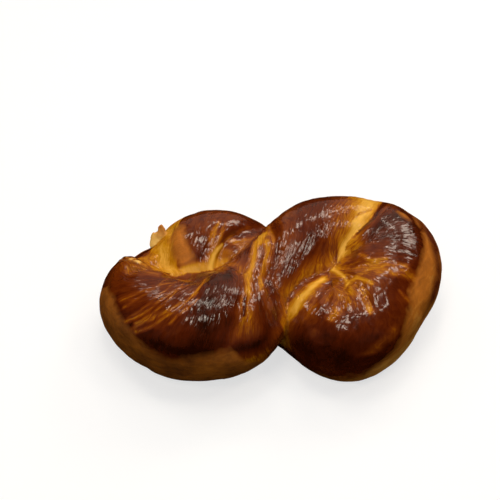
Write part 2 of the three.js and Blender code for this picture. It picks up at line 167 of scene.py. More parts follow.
# Strokes of one tone over them: a line of (station, degrees), half width at its start and its end, gold
STROKES = (
    (((6.04, -6), (6.16, 21), (6.27, 36), (6.38, 50)), 0.5, 2.2, 0.60),  # left back strand
    (((6.10, 2), (6.23, 24), (6.33, 40)), 0.4, 1.6, 0.54),
    (((5.97, -6), (6.06, 17), (6.20, 36)), 0.4, 1.4, 0.58),
    (((6.28, 12), (6.27, 26), (6.36, 34)), 2.2, 2.2, 0.16),
    (((6.55, 40), (6.46, 44), (6.38, 48)), 2.6, 2.8, 0.78),
    (((6.03, 24), (6.20, 38), (6.30, 51)), 0.6, 1.7, 0.97),
    (((5.94, 24), (5.80, 24)), 2.0, 1.8, 0.22),  # inner fold
    (((5.66, -40), (5.74, -12), (5.82, 4)), 1.6, 1.2, 0.14),
    (((6.22, 52), (6.03, 50), (5.9, 46)), 2.0, 1.4, 0.72),
    (((6.72, -62), (6.66, -45), (6.71, -11)), 2.6, 1.6, 0.52),  # shoulder
    (((6.80, -60), (6.68, -56), (6.58, -60)), 3.4, 2.6, 0.12),
    (((6.56, -30), (6.60, -2), (6.66, 28)), 1.6, 2.6, 0.84),
    (((6.86, -34), (6.85, -18), (6.82, -2), (7.0, 16), (7.63, 37), (8.2, 44)), 1.4, 0.8, 0.56),  # lip
    (((6.98, -18), (6.95, -4)), 1.2, 1.0, 0.50),
    # Dark side of the left lobe
    (((8.95, 34), (8.85, 10), (8.72, -15), (8.6, -40), (8.5, -58)), 5.0, 6.5, 0.05),
    (((8.95, 30), (9.35, 22), (9.75, 32)), 4.5, 2.5, 0.06),
    (((7.74, -56), (7.95, -61), (8.2, -62), (8.5, -57), (8.7, -53)), 3.0, 3.0, 0.03),
    (((8.80, -86), (8.95, -92), (9.1, -96)), 4.2, 4.8, 0.54),  # golden foot of the left lobe
    (((7.56, -54), (7.66, -40)), 1.2, 0.8, 0.05),
    (((7.73, -57), (7.89, -45)), 1.2, 0.8, 0.05),
    # Fan of the left lobe
    (((8.66, 24), (8.36, -3), (8.08, -17), (7.88, -31), (7.66, -46)), 0.5, 0.9, 0.52),
    (((8.60, 40), (8.05, 6), (7.86, -10), (7.70, -33), (7.51, -52)), 0.4, 0.8, 0.50),
    (((8.57, 14), (8.26, -13), (8.03, -27), (7.85, -43), (7.68, -55)), 0.4, 0.7, 0.50),
    (((8.52, 6), (8.27, -18), (8.12, -33)), 0.4, 0.5, 0.50),
    (((8.15, 30), (7.7, 6), (7.49, -16), (7.33, -36)), 0.4, 0.8, 0.44),
    (((8.24, 36), (8.03, -6), (7.76, -36), (7.61, -57)), 0.5, 0.6, 0.46),
    (((7.95, 36), (7.85, 2), (7.71, -21), (7.54, -47)), 0.5, 0.6, 0.42),
    (((7.70, 34), (7.67, 0), (7.53, -21), (7.43, -39)), 0.5, 0.6, 0.40),
    (((8.53, -3), (8.34, -16), (8.20, -24)), 0.5, 0.5, 0.48),
    (((8.66, 38), (8.6, 20), (8.45, 4)), 1.2, 0.8, 0.60),
    # Bands beside the ridge
    (((10.45, 50), (10.25, 33), (9.98, 9), (9.69, -5), (9.33, -18)), 1.5, 1.5, 0.74),
    (((10.40, 28), (10.25, 7), (10.04, -8), (9.77, -24)), 1.2, 1.2, 0.68),
    (((10.63, 59), (10.47, 24), (10.19, -3), (9.95, -16)), 1.4, 0.9, 0.52),
    (((10.50, 48), (10.34, 34)), 2.0, 1.4, 0.74),
    (((10.22, 17), (9.96, -6), (9.59, -20)), 0.5, 0.7, 0.26),
    # Below the bands
    (((9.36, -14), (9.2, -28), (9.12, -43), (9.02, -56), (8.92, -68)), 1.6, 3.8, 0.50),
    (((9.0, -64), (8.85, -74), (8.64, -82)), 2.6, 3.0, 0.46),
    (((9.33, -16), (9.22, -25), (9.14, -34)), 0.5, 0.6, 0.0),
    (((9.58, -30), (9.45, -46), (9.39, -65)), 1.6, 2.2, 0.10),
    (((8.94, -68), (9.03, -70), (9.20, -72)), 4.2, 3.6, 0.0),
    (((9.95, -33), (9.76, -54), (9.62, -68)), 2.0, 2.4, 0.12),
    (((11.48, 14), (11.34, -13), (11.34, -38), (11.45, -56)), 2.4, 2.6, 0.48),  # up to the wedge
    # Wedge
    (((11.84, 50), (11.80, 4), (11.76, -9), (11.72, -30), (11.64, -44), (11.56, -57)), 5.4, 4.0, 0.90),
    # Painted shadow: a thin dark line beside the fold, where the right lobe stands over the wedge
    (((12.10, 56), (12.07, 1), (11.99, -15), (11.90, -30)), 1.1, 0.6, 0.10),
    (((11.62, -10), (11.73, 4), (11.92, 20)), 0.5, 0.5, 0.62),
    (((12.25, -25), (12.35, 10), (12.45, 36)), 4.0, 5.0, 0.06),  # right lobe
    (((12.75, -28), (12.80, 0), (12.90, 24)), 6.0, 6.0, 0.09),
    (((14.56, -28), (14.53, 2), (14.53, 26), (14.53, 55), (14.56, 84)), 2.6, 4.0, 0.90),  # groove
    (((13.84, -14), (13.92, 0)), 2.2, 1.8, 0.40),  # right dimple
    (((13.62, -58), (13.76, -48)), 1.8, 1.6, 0.40),
    (((13.68, -32), (13.59, -27), (13.50, -20), (13.39, -3), (13.33, 17)), 1.4, 0.7, 0.64),
    (((13.46, -34), (13.42, -17), (13.35, -1), (13.31, 18)), 1.6, 0.7, 0.56),
    (((13.67, -34), (13.70, -16), (13.79, -1), (13.88, 17)), 1.2, 0.8, 0.60),
    (((13.45, -6), (13.40, 8), (13.36, 20)), 2.2, 2.0, 0.45),
    (((13.52, -6), (13.43, 14), (13.36, 30), (13.38, 44)), 1.2, 1.6, 0.50),
    (((13.30, -36), (13.38, -19), (13.32, -5)), 1.2, 0.8, 0.56),
    (((13.55, 24), (13.56, 39), (13.55, 52)), 0.6, 0.8, 0.44),
    (((13.48, -64), (13.55, -53), (13.68, -34), (13.82, -30)), 1.1, 0.8, 0.88),
    (((13.66, -34), (13.61, -24), (13.62, -13), (13.64, -4)), 1.0, 0.7, 0.76),
    (((13.73, -12), (13.82, 5), (13.87, 18)), 0.8, 0.9, 0.70),
    (((11.72, -42), (11.63, -54), (11.42, -68)), 1.2, 0.9, 0.92),
    (((13.74, -26), (13.92, -14), (14.04, -2)), 2.0, 1.2, 0.52),
    (((14.28, -6), (14.18, -5)), 1.0, 1.2, 0.50),
    (((14.14, 4), (14.21, 20)), 1.2, 0.8, 0.52),
    (((14.40, 6), (14.37, 28), (14.42, 50)), 1.6, 2.4, 0.42),  # right front
    (((14.47, 64), (14.36, 62), (14.29, 40)), 0.6, 0.8, 0.50),
    (((14.33, 62), (14.18, 54), (14.06, 68)), 8.0, 6.0, 0.07),
    (((13.99, 60), (13.93, 54), (13.82, 50)), 1.6, 2.0, 0.40),
)

# Where the dough took its colour evenly: grain from and to, its softness, degrees from and to, theirs, share
EVEN = (4.75, 6.50, 0.06, 14, 150, 14, 0.7)

# Lower edge of the egg wash, on the rope's left and on its right: station, degrees
WASH_LEFT = (
    (4.75, 120), (9.7, 110), (10.2, 80), (11, 76), (12, 66), (12.3, 66), (12.5, 58), (12.62, 46),
    (12.74, 33), (12.92, 32), (13.15, 33), (13.3, 33), (13.49, 37), (13.56, 46), (13.67, 50),
    (13.74, 60), (13.8, 73), (13.91, 85), (14.05, 105), (14.2, 120), (14.75, 122),
)
WASH_RIGHT = (
    (4.75, 80), (5.3, 62), (6.2, 58), (6.7, 80), (7.02, 76), (7.06, 48), (7.19, 40), (7.42, 50),
    (7.51, 54), (7.69, 59), (7.77, 64), (7.91, 69), (8.07, 74), (8.29, 72), (8.48, 68),
    (8.67, 65), (8.82, 66), (8.92, 82), (9.1, 102), (9.5, 112), (9.8, 130), (14.75, 130),
)
# Colour of the bare crust below the wash along the rope: station, tone
BARE = (
    (4.75, 0.3), (6, 0.4), (6.3, 0.6), (6.6, 0.6), (7, 0.34), (7.4, 0.3), (8, 0.24), (8.4, 0.28),
    (8.8, 0.32), (9.1, 0.36), (9.7, 0.34), (11, 0.4), (12.4, 0.6), (13.3, 0.58), (13.6, 0.66),
    (13.9, 0.62), (14.4, 0.34), (14.75, 0.28),
)
# Paler lower flank of the right end, partly its own paler crust and partly painted light that stands in for
# bounce light on this downward flank: station from and to, its softness, degrees from and to, theirs, paler
# by
PALE_FLANK_AND_PAINTED_BOUNCE = (13.50, 14.05, 0.40, 96, 160, 24, 0.36)
# How gently the wash ends along the rope: station, softness
FADING = (
    (4.75, 1.0), (7.4, 1.0), (8.0, 1.3), (8.8, 1.3), (9.2, 1.0), (13.3, 1.0), (13.5, 2.0),
    (13.8, 3.0), (14.75, 2.6),
)
# Bare patches in the wash: a line of (station, degrees), half width at its start and its end
DRY = (
    (((6.42, -18), (6.46, 5), (6.48, 26)), 3.4, 3.6),  # left back strand
    (((12.42, 26), (12.46, 25)), 1.5, 1.1),  # back of the right lobe
    (((12.43, 48), (12.47, 45), (12.53, 44)), 1.6, 1.0),
    (((12.57, 38), (12.61, 34)), 1.1, 0.8),
)

# Dark marks: a line of (station, degrees), half width in millimetres, strength
BURNS = (
    (((12.66, 46), (12.87, 53), (13.04, 60), (13.2, 67), (13.31, 72)), 4.6, 0.9),  # right rim
    (((12.50, 50), (12.60, 46), (12.68, 48)), 2.4, 0.8),
)
STROKE_FADE = 2.1  # half widths at which a stroke has faded
BURN_FADE = 1.8  # half widths at which a dark mark has faded
PLAIN_GOLD = 0.15  # outside the bands and strokes
SEAM_GOLD = 0.30  # added where two strands press together
SEAM_GOLD_REACH = 1.5
SOLE_EDGE = (0.2, 1.6)  # heights between which the sole gives way to the crust

# Wrinkles: grain from and to, degrees from and to, height
WRINKLES = (
    (5.80, 6.30, -30, 80, 0.25),
    (6.80, 8.70, -66, 34, 0.30),
    (9.44, 10.36, -50, 70, 0.45),
    (10.40, 11.50, -70, 50, 0.22),
    (11.52, 12.00, -70, 50, 0.14),
    (13.20, 14.60, -90, 24, 0.34),
)
WRINKLE_SOFT = 0.12  # softness of their ends in grain
WRINKLE_EDGE = 14  # and in degrees
LEAST_WRINKLE = 0.08  # height outside them
RIDGES = (((0.42, 0.08, 1), 1.0), ((0.85, 0.16, 1), 0.5))  # waves across, along and by strand; share
STRAND_APART = 17.0  # keeps the ridges of one strand from running on in the next
STRAY = (1.2, 4.0, 0)  # millimetres that a ridge strays across, along and to another strand
STRAY_SIZE = 6.0
STRAY_SHIFT = 50  # cells between the noise for one way and for the next
LUMPS = ((15, 1.0), (6, 0.5))  # size, share
BASE_PLAIN = (0.3, 4)  # heights between which the unevenness comes in above the base
SEED_STEP = {"ridges": 0, "lumps": 2, "torn": 4, "stray": 5}  # from the first seed to each noise's own
TABLE = 1 << 16  # random heights behind a noise, a power of two
SCATTER = (73856093, 19349663, 83492791)  # primes that scatter the lattice's corners over them

# The torn flake: its place, its reach, how far out of the dough it begins and how rough it is, in millimetres
FLAKE_PLACE = np.array((-55.2, 20.5, 30.6))
FLAKE_REACH = 12.0
FLAKE_STAND = 0.45
FLAKE_ROUGH = 0.35
TORN_SIZE = 1.4  # of the lumps in torn crust
# Frayed crust along the lip beside the flake: its line, half width, the share of that in full, and height
FRAY = ((6.89, -50), (6.87, -38), (6.85, -24), (6.84, -10))
FRAY_HALF = 1.8
FRAY_CORE = 0.3
FRAY_HEIGHT = 0.8
FRAY_TORN = (-0.1, 0.5)  # torn heights between which its crumb comes to show
FRAY_TOAST = 0.3  # its tone, from crumb to toasted tip

# Settling the skin on the dough: rounds, longest move in millimetres, least squared slope
SETTLE_ROUNDS = 3
SETTLE_MOVE = 0.8
LEAST_SLOPE = 0.25
WELD = 0.01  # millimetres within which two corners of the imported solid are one
TINY = 1e-9  # keeps a division from running off

# Noise through the crust: waves per metre, detail, roughness
BLOTCH = (110.0, 3.0, 0.55)
SPECK = (900.0, 3.0, 0.6)
PEBBLE = (380.0, 0.0, 0.4)
# Streaks along the grain: waves per millimetre across, along and by strand, detail, roughness
BROAD = ((0.30, 0.05, 1.0), 3.0, 0.55)
FINE = ((0.95, 0.14, 1.0), 4.0, 0.6)
HAIR = ((2.4, 0.28, 1.0), 2.0, 0.5)
BRUSHED = ((0.16, 0.55, 1.0), 1.0, 0.5)
PULL = ((0.62, 0.20, 1.0), 1.0, 0.45)
# How far the streaks stray: waves per metre, detail, millimetres across, along and to another strand
STREAK_STRAY_WAVES = 170.0
STREAK_STRAY_DETAIL = 2.0
STREAK_STRAY = (3.0, 8.0, 0.0)

HALF = 0.5  # middle of a noise
# Contrast of the streaks: the least, and the rest where gold fades into brown
LEAST_CONTRAST = 0.06
FADE_CONTRAST = 7.0
# How far each noise swings the washed tone, the bare tone, the torn tone and, in millimetres, the wash's edge
WASHED_BROAD = 0.8
WASHED_FINE = 1.6
WASHED_HAIR = 0.8
WASHED_BLOTCH = 0.28
BARE_BLOTCH = 0.8
BARE_BRUSHED = 0.4
BARE_SPECK = 0.2
TORN_PEBBLE = 0.8
EDGE_BLOTCH = 5.5
EDGE_PEBBLE = 1.5
EDGE_SHARPNESS = 0.3  # share of the wash lost per millimetre
BURN_BLOTCH = 2.0  # how much blotches break up the dark marks
# Colours by tone: tone, name of the colour
WASHED_COLOURS = (
    (0.0, "burnt"), (0.14, "dark"), (0.38, "red"), (0.54, "amber"), (0.72, "gold"), (0.95, "cream"),
)
BARE_COLOURS = ((0.0, "bare_dark"), (0.65, "bare_light"), (1.0, "bare_pale"))
TORN_COLOURS = ((0.3, "crumb"), (1.0, "bare_light"))
# Golden dough shines less: the gold from which it does, how fast, and by how much at most
DULL_FROM = 0.36
DULL_SLOPE = 3.0
DULL_MOST = 0.72
# Fine relief of the wash and of the bare crust: strength, depth in millimetres
WASH_BUMP = (1.0, 0.32)
CRUST_BUMP = (0.6, 0.4)
WASH_BUMP_PEBBLE = 0.45
WASH_BUMP_SPECK = 0.08
WASH_SHINE = 0.5
CRUST_SHINE = 0.12

# A colour Mix node's sockets: share, first colour, second colour, result
MIX_SHARE = 0
MIX_FROM = 6
MIX_TO = 7
MIX_RESULT = 2

WHITE = (1.0, 1.0, 1.0)
# Lamps that the glaze doesn't mirror and those that it does: place and side in metres
PLAIN_LAMPS = {"ceiling": ((0.0, 0.0, 1.6), 4.0), "overhead": ((0.0, 0.15, 0.75), 0.5)}
MIRRORED_LAMPS = {"back": ((0.0, 1.0, 0.5), 1.2), "sheen": ((0.50, 0.68, 0.64), 0.36)}
# Places of the low lamps and of the small ones, in metres
FILLS = ((0.5, -0.6, 0.32), (-0.75, -0.4, 0.3))
FILL_SIDE = 0.6
GLINTS = (
    (0.05, 0.56, 0.70), (0.42, 0.04, 0.70), (-0.47, 0.44, 0.70), (-0.18, -0.28, 0.72), (-0.05, 0.12, 0.78),
)
LAMP_AIM = (0.0, 0.0, 0.02)
FLOOR_ROUGH = 0.9
CLIP_START = 0.01


# Settings


def from_screen(red, green, blue):
    """A colour in 0 to 255 screen values as the linear values that a shader takes, by the standard curve."""
    def linear(value):
        value /= 255
        return value / 12.92 if value <= 0.04045 else ((value + 0.055) / 1.055) ** 2.4
    return linear(red), linear(green), linear(blue)


def colour(name, description, red, green, blue):
    return FloatVectorProperty(name=name, description=description, subtype="COLOR", size=3, min=0, max=1,
                               default=from_screen(red, green, blue))


def length(name, description, default):
    """A small size, given in millimetres."""
    return FloatProperty(name=name, description=description, default=default * MM, min=0, unit="LENGTH",
                         subtype="DISTANCE", precision=5)


def metres(name, description, default):
    return FloatProperty(name=name, description=description, default=default, min=0, unit="LENGTH",
                         subtype="DISTANCE")


def point(name, description, default):
    return FloatVectorProperty(name=name, description=description, default=default, size=3, unit="LENGTH",
                               subtype="TRANSLATION")


def factor(name, description, default):
    return FloatProperty(name=name, description=description, default=default, min=0, max=1, subtype="FACTOR")


def watts(name, description, default):
    return FloatProperty(name=name, description=description, default=default, min=0, unit="POWER")


def amount(name, description, default):
    return FloatProperty(name=name, description=description, default=default, min=0)


class RollShape(bpy.types.PropertyGroup):
    """Sizes of the roll's fine surface"""
    skin: length("Skin", "Spacing of the points of the skin", 0.75)
    seam: length("Seam", "Rounding where two strands press together", 1.1)
    crease: length("Crease", "Rounding at the bottom of a fold", 0.45)
    lump: length("Lumps", "Height of the dough's slow unevenness", 0.45)
    wrinkle: amount("Wrinkles", "Share of the wrinkles' full height", 1.0)
    seed: IntProperty(name="Seed", description="Seed of the unevenness", default=7)


class CrustLook(bpy.types.PropertyGroup):
    """Colours and gloss of the crust"""
    burnt: colour("Burnt", "Darkest spots of the crust", 38, 10, 1)
    dark: colour("Mahogany", "Tops of the strands under the egg wash", 84, 28, 4)
    red: colour("Chestnut", "Crust between the tops and the folds", 122, 54, 8)
    amber: colour("Amber", "Streaks beside the folds", 157, 87, 2)
    gold: colour("Gold", "Stretched dough in the folds", 193, 128, 6)
    cream: colour("Cream", "Palest stretched dough", 237, 180, 72)
    bare_dark: colour("Bare brown", "Unwashed crust, well baked", 90, 46, 16)
    bare_light: colour("Bare amber", "Unwashed crust, less baked", 183, 107, 31)
    bare_pale: colour("Bare straw", "Unwashed crust, least baked", 218, 154, 66)
    crumb: colour("Crumb", "Torn flake and frayed crust", 242, 196, 104)
    sole: colour("Sole", "Underside", 150, 100, 48)
    wash_rough: factor("Wash roughness", "Roughness of the glaze", 0.17)
    crust_rough: factor("Crust roughness", "Roughness of the bare crust", 0.62)


class StageSetup(bpy.types.PropertyGroup):
    """Floor, lights and camera"""
    floor: colour("Floor", "Colour of the floor", 165, 165, 165)
    floor_side: metres("Floor side", "Side of the square floor", 6.0)
    backdrop: amount("Backdrop", "Brightness that the floor and the sky have of their own", 0.65)
    ceiling: watts("Ceiling", "Power of the even light from above", 6.0)
    overhead: watts("Overhead", "Power of the large lamp overhead", 1.7)
    back: watts("Back", "Power of the wide lamp behind", 1.4)
    sheen: watts("Sheen", "Power of the soft lamp behind on the right", 2.8)
    glint: watts("Glint", "Power of each small lamp that picks out the glaze", 0.8)
    glint_side: metres("Glint side", "Side of each small lamp", 0.15)
    fill: watts("Fill", "Power of each low lamp in front", 1.3)
    warm: FloatVectorProperty(name="Warm", description="Colour of the lamps that the glaze mirrors",
                              subtype="COLOR", size=3, min=0, max=1, default=(1.0, 0.89, 0.75))
    eye: point("Eye", "Place of the camera", (0.0, -0.2962, 0.3987))
    aim: point("Aim", "Point that the camera looks at", (-0.0111, 0.0136, 0.0317))
    lens: FloatProperty(name="Lens", description="Focal length", default=71.54, unit="CAMERA")


# Dough


def soft_min(a, b, k):
    """The lesser of two distances, rounded over k where they are alike."""
    share = np.clip(0.5 + 0.5 * (b - a) / k, 0, 1)
    return b * (1 - share) + a * share - k * share * (1 - share)


def step_up(low, high, value):
    """A smooth step from 0 to 1 between two values."""
    share = np.clip((value - low) / (high - low), 0, 1)
    return share * share * (3 - 2 * share)


def window(value, low, high, soft):
    """1 between two values and 0 outside them, with soft ends."""
    return step_up(low - soft, low + soft, value) * (1 - step_up(high - soft, high + soft, value))


def band_share(band, along, degrees):
    """How much of a band lies at each place along the rope and round it."""
    low, high, soft, first, last, edge, share = band
    return share * window(along, low, high, soft) * window(degrees, first, last, edge)


def along_rope(table, station):
    """Values at stations, from a table of (station, value)."""
    return np.interp(station, *np.transpose(table))


def on_rope(station):
    """Centre line and radius at stations, on an even closed curve through the rope's own stations."""
    whole = np.floor(station).astype(int)
    part = (station - whole)[:, None]
    before, start, end, after = (STATIONS[(whole + step) % COUNT] for step in (-1, 0, 1, 2))
    out, back = 0.5 * (end - before), 0.5 * (after - start)
    return (start + part * out + part ** 2 * (3 * end - 3 * start - 2 * out - back)
            + part ** 3 * (2 * start - 2 * end + out + back))


class Strand:
    """One span of the rope as a row of samples."""

    def __init__(self, start, end):
        self.station = np.linspace(start, end, math.ceil((end - start) * SAMPLES_PER_STATION) + 1)
        row = on_rope(self.station)
        near = 1e-3
        ahead = (on_rope(self.station + near) - on_rope(self.station - near))[:, :3]
        self.pace = np.linalg.norm(ahead, axis=1) / (2 * near)
        self.ahead = ahead / np.linalg.norm(ahead, axis=1, keepdims=True)
        left = np.cross((0, 0, 1), self.ahead)
        self.left = left / np.linalg.norm(left, axis=1, keepdims=True)
        self.top = np.cross(self.ahead, self.left)
        self.centre = row[:, :3] - MIDDLE
        self.radius = row[:, 3]

    def reach(self, points):
        """Distance of points from the bare strand, and the station, degrees, radius and pace at each."""
        square = (points ** 2).sum(1)[:, None] + (self.centre ** 2).sum(1) - 2 * points @ self.centre.T
        gap = np.sqrt(np.maximum(square, 0)) - self.radius
        middle = np.clip(gap.argmin(1), 1, len(self.station) - 2)
        before, here, after = (
            np.take_along_axis(gap, middle[:, None] + step, 1)[:, 0] for step in (-1, 0, 1))
        bend = np.maximum(before - 2 * here + after, TINY)
        nearest = middle + np.clip(0.5 * (before - after) / bend, -1, 1)
        low = np.minimum(nearest.astype(int), len(self.station) - 2)
        part = nearest - low

        def at(values):
            share = part[:, None] if values.ndim == 2 else part
            return values[low] * (1 - share) + values[low + 1] * share

        out = points - at(self.centre)
        degrees = np.degrees(np.arctan2((out * at(self.left)).sum(1), (out * at(self.top)).sum(1)))
        radius, pace = at(self.radius), at(self.pace)
        station = at(self.station) + (out * at(self.ahead)).sum(1) / pace
        return np.linalg.norm(out, axis=1) - radius, station, degrees, radius, pace


def line_gap(line, station, degrees, radius, pace):
    """Millimetres from a line on the rope, the side of it, and the share of the line that lies behind."""
    best = np.full(len(station), np.inf)
    side = np.zeros(len(station))
    along = np.zeros(len(station))
    for n, ((s0, a0), (s1, a1)) in enumerate(zip(line, line[1:])):
        x, y = (station - s0) * pace, np.radians(degrees - a0) * radius
        ex, ey = (s1 - s0) * pace, math.radians(a1 - a0) * radius
        share = np.clip((x * ex + y * ey) / (ex ** 2 + ey ** 2), 0, 1)
        gap = np.hypot(x - share * ex, y - share * ey)
        closer = gap < best
        best = np.where(closer, gap, best)
        side = np.where(closer, np.sign((x * ey - y * ex) * (a1 - a0)), side)
        along = np.where(closer, (n + share) / (len(line) - 1), along)
    return best, side, along


def fold_height(place, crease):
    """Height that the folds, hollows and creases add to a strand, below zero where they sink."""
    height = 0
    for line, depth, step in FOLDS:
        gap, side, along = line_gap(line, *place)
        fade = 1 - np.abs(2 * along - 1) ** FOLD_FADE
        sink = depth * np.exp((crease - np.hypot(gap, crease)) / FOLD_REACH)
        rise = step * side * (1 - np.exp(-gap / STEP_EDGE)) * np.exp(-gap / STEP_REACH)
        height = height + fade * (rise - sink)
    for line, depth, reach in HOLLOWS:
        gap, _, _ = line_gap(line, *place)
        height = height - depth * np.exp(-(gap / reach) ** 2)
    for line, depth, reach in CREASES:
        gap, _, along = line_gap(line, *place)
        fade = 1 - np.abs(2 * along - 1) ** FOLD_FADE
        height = height - fade * depth * np.exp((crease - np.hypot(gap, crease)) / reach)
    return height


class Dough:
    """The roll as a distance from its surface, below zero inside."""

    def __init__(self, seam, crease):
        self.strands = [Strand(*span) for span in SPANS]
        self.seam, self.crease = seam, crease

    def reach(self, points):
        """Each strand's distance with its folds, and the place on it."""
        found = [strand.reach(points) for strand in self.strands]
        least = np.min([gap for gap, *_ in found], axis=0)
        rows = []
        for gap, *place in found:
            near = gap < least + FOLDS_MATTER
            height = np.zeros(len(points))
            height[near] = fold_height([values[near] for values in place], self.crease)
            rows.append((gap - height, place))
        return rows

    def distance(self, points):
        """Distance from the whole roll: its strands, the webs in its loops and the flat base."""
        gaps = [gap for gap, _ in self.reach(points)]
        joined = gaps[0]
        for gap in gaps[1:]:
            joined = soft_min(joined, gap, self.seam)
        for *centre, radius in WEBS:
            web = np.linalg.norm(points - (np.array(centre) - MIDDLE), axis=1) - radius
            joined = soft_min(joined, web, WEB_SEAM)
        return -soft_min(-joined, points[:, 2], BASE_ROUND)

    def slope(self, points):
        """Distance at each point, and how it grows along x, y and z."""
        probe = 0.05
        here = self.distance(points)
        rows = [(self.distance(points + probe * axis) - here) / probe for axis in np.eye(3)]
        return here, np.stack(rows, 1)

    def place(self, points):
        """Strand, station, degrees, radius and pace at each point, and how far behind the next strand is."""
        found = self.reach(points)
        gaps = np.stack([gap for gap, _ in found])
        strand = gaps.argmin(0)
        ordered = np.sort(gaps, axis=0)
        rows = [np.choose(strand, values) for values in zip(*(place for _, place in found))]
        return strand, *rows, ordered[1] - ordered[0]


def unevenness(points, seed):
    """Smooth noise from -1 to 1 on a unit lattice."""
    table = np.random.default_rng(seed).uniform(-1, 1, TABLE)
    cell = np.floor(points).astype(np.int64)
    part = points - cell
    part = part * part * part * (part * (6 * part - 15) + 10)
    total = 0
    for corner in np.ndindex(2, 2, 2):
        x, y, z = ((cell + corner) * SCATTER).T
        weight = np.prod(np.where(corner, part, 1 - part), axis=1)
        total = total + weight * table[(x ^ y ^ z) & (TABLE - 1)]
    return total


def grain_of(station, degrees):
    """Where the streak through each point crosses the rope's top, in stations."""
    apart = 1e-3
    turns = [([a for _, a in line], [s for s, _ in line]) for line in GRAIN]
    lines = np.stack([np.interp(degrees, *turn) for turn in turns])
    lines = np.maximum.accumulate(lines + apart * np.arange(len(GRAIN))[:, None], axis=0)
    home = np.array([np.interp(0, *turn) for turn in turns])
    after = np.clip((lines <= station).sum(0), 1, len(GRAIN) - 1)
    low = np.take_along_axis(lines, after[None] - 1, 0)[0]
    high = np.take_along_axis(lines, after[None], 0)[0]
    share = np.clip((station - low) / (high - low), 0, 1)
    return home[after - 1] * (1 - share) + home[after] * share


def rows_of(mesh, name):
    """A vector of each of a mesh's points."""
    values = np.empty(len(mesh.vertices) * 3)
    mesh.vertices.foreach_get(name, values)
    return values.reshape(-1, 3)


def settled(points, dough, held):
    """Points moved onto the dough, except for those held, and the way out of it at each."""
    for _ in range(SETTLE_ROUNDS):
        here, slope = dough.slope(points)
        move = np.clip(-here / np.maximum((slope ** 2).sum(1), LEAST_SLOPE), -SETTLE_MOVE, SETTLE_MOVE)
        points = points + np.where(held, 0, move)[:, None] * slope
    return points, slope / np.maximum(np.linalg.norm(slope, axis=1, keepdims=True), TINY)


def wrinkled(points, across, grain, degrees, shape):
    """Height of the wrinkles and lumps at each point, in millimetres."""
    wrinkle = LEAST_WRINKLE
    for low, high, first, last, height in WRINKLES:
        band = (low, high, WRINKLE_SOFT, first, last, WRINKLE_EDGE, height)
        wrinkle = np.maximum(wrinkle, band_share(band, grain, degrees))
    seed = shape.seed + SEED_STEP["stray"]
    stray = [unevenness(points / STRAY_SIZE + STRAY_SHIFT * n, seed) for n in range(len(STRAY))]
    across = across + np.stack(stray, 1) * STRAY
    seed = shape.seed + SEED_STEP["ridges"]
    ridges = sum(share * unevenness(across * waves, seed + n) for n, (waves, share) in enumerate(RIDGES))
    seed = shape.seed + SEED_STEP["lumps"]
    lumps = sum(share * unevenness(points / size, seed + n) for n, (size, share) in enumerate(LUMPS))
    off_base = step_up(*BASE_PLAIN, points[:, 2])
    return off_base * (shape.wrinkle * wrinkle * ridges + shape.lump / MM * lumps)


def crust_tones(points, spot, grain, next_gap):
    """What the crust's colour and gloss go by at each point."""
    station, degrees, radius, _ = spot
    gold = PLAIN_GOLD + SEAM_GOLD * np.exp(-next_gap / SEAM_GOLD_REACH)
    for band in GOLD_BANDS:
        gold = np.maximum(gold, band_share(band, grain, degrees))
    for line, first, last, tone in STROKES:
        gap, _, along = line_gap(line, *spot)
        half = first + (last - first) * along
        gold += (tone - gold) * (1 - step_up(0, STROKE_FADE, gap / half))
    left = along_rope(WASH_LEFT, station)
    right = along_rope(WASH_RIGHT, station)
    wash = np.radians(np.minimum(left - degrees, right + degrees)) * radius
    for line, first, last in DRY:
        gap, _, along = line_gap(line, *spot)
        wash = np.minimum(wash, gap - first - (last - first) * along)
    burn = np.zeros(len(points))
    for line, half, strength in BURNS:
        gap, _, _ = line_gap(line, *spot)
        burn = np.maximum(burn, strength * (1 - step_up(0, BURN_FADE * half, gap)))
    return {
        "gold": gold,
        "streak": 1 - band_share(EVEN, grain, degrees),
        "wash": wash / along_rope(FADING, station),
        "burn": burn,
        # the bare tone is raised on the right end's lower flank, partly as painted bounce light
        "bare": along_rope(BARE, station) + band_share(PALE_FLANK_AND_PAINTED_BOUNCE, station, degrees),
        "sole": 1 - step_up(*SOLE_EDGE, points[:, 2]),
    }


def dough_points(mesh, shape):
    """Moves a mesh's points onto the fine dough and returns what the crust is painted by."""
    points = rows_of(mesh, "co") / MM
    normals = rows_of(mesh, "normal")
    dough = Dough(shape.seam / MM, shape.crease / MM)
    by_flake = np.linalg.norm(points - FLAKE_PLACE, axis=1) < FLAKE_REACH
    flake = by_flake & (dough.distance(points) > FLAKE_STAND)
    points, way = settled(points, dough, flake)
    way = np.where(flake[:, None], normals, way)

    strand, *spot, next_gap = dough.place(points)
    station, degrees, radius, _ = spot
    grain = grain_of(station, degrees)
    across = np.stack((grain * PACE, np.radians(degrees) * radius, strand * STRAND_APART), 1)

    height = wrinkled(points, across, grain, degrees, shape)
    torn = unevenness(points / TORN_SIZE, shape.seed + SEED_STEP["torn"])
    fray_gap, _, _ = line_gap(FRAY, *spot)
    frayed = 1 - step_up(FRAY_CORE * FRAY_HALF, FRAY_HALF, fray_gap)
    height = np.where(flake, FLAKE_ROUGH * torn, height + FRAY_HEIGHT * frayed * torn)
    points += height[:, None] * way
    points[:, 2] = np.maximum(points[:, 2], 0)
    mesh.vertices.foreach_set("co", (points * MM).ravel())
    mesh.update()

    rise = points[:, 2]
    toasted = np.where(flake, step_up(rise[flake].min(), rise[flake].max(), rise), FRAY_TOAST)
    crumb = np.maximum(flake, frayed * step_up(*FRAY_TORN, torn))
    tones = crust_tones(points, spot, grain, next_gap)
    return {"grain": across, **tones, "crumb": crumb, "toasted": toasted}


# Crust


